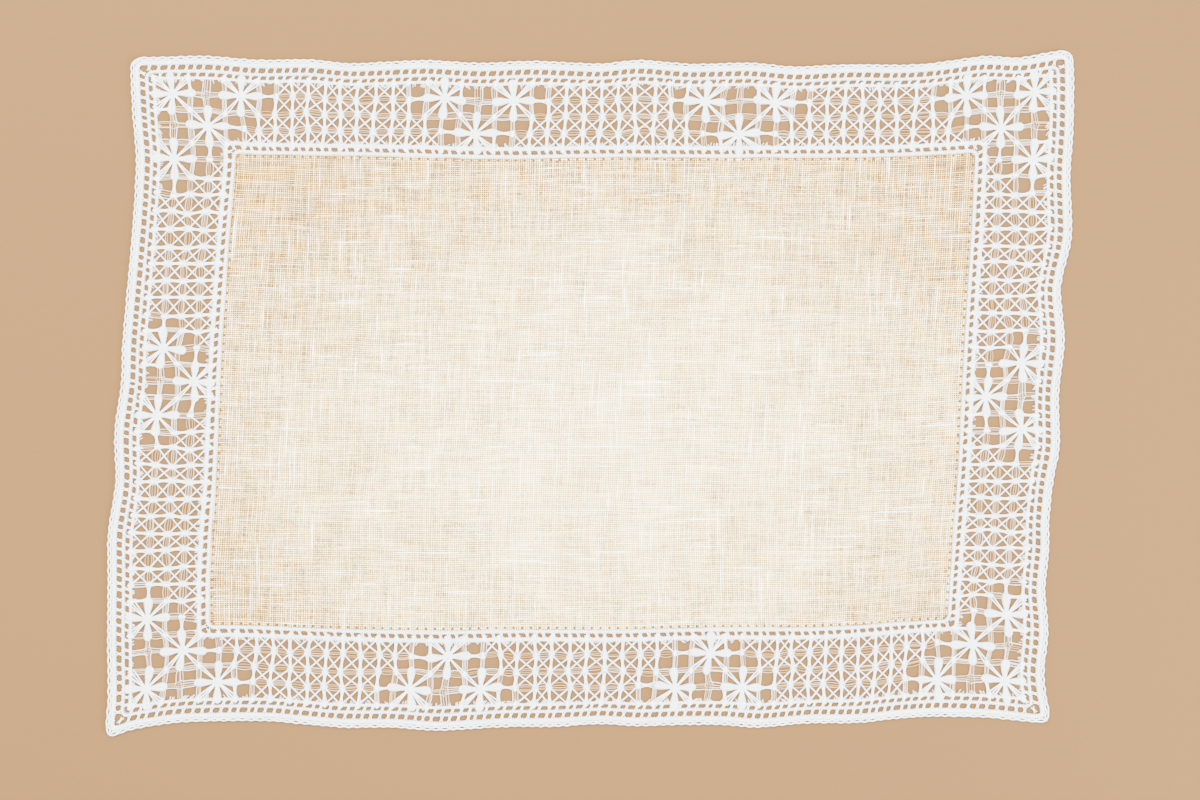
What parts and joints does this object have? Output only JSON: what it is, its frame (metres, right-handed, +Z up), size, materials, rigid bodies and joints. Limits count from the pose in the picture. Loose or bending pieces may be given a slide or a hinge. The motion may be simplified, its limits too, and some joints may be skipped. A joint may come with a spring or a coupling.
{
  "type": "bobbin lace mat",
  "caption": "Rectangular linen table mat with a wide openwork lace border of flowers, open cells and crossed threads, ladder seams and a crocheted edge.",
  "frame": {"origin": "centre of the mat's box on the surface it lies on", "axes": "+X along the long side, +Y along the short side, +Z up from the surface"},
  "size_m": [0.4623, 0.3277, 0.0018],
  "materials": {
    "linen": "plain-weave off-white linen with slubs, ecru gaps between the threads",
    "lace_cotton": "matt white cotton lace thread",
    "edge_cotton": "matt white crochet cotton, worked tightly"
  },
  "bodies": {
    "root": {"linen_panel": "linen", "inner_ladder": "lace_cotton", "lace_net": "lace_cotton", "outer_ladder": "lace_cotton", "crochet_edge": "edge_cotton"}
  },
  "joints": []
}
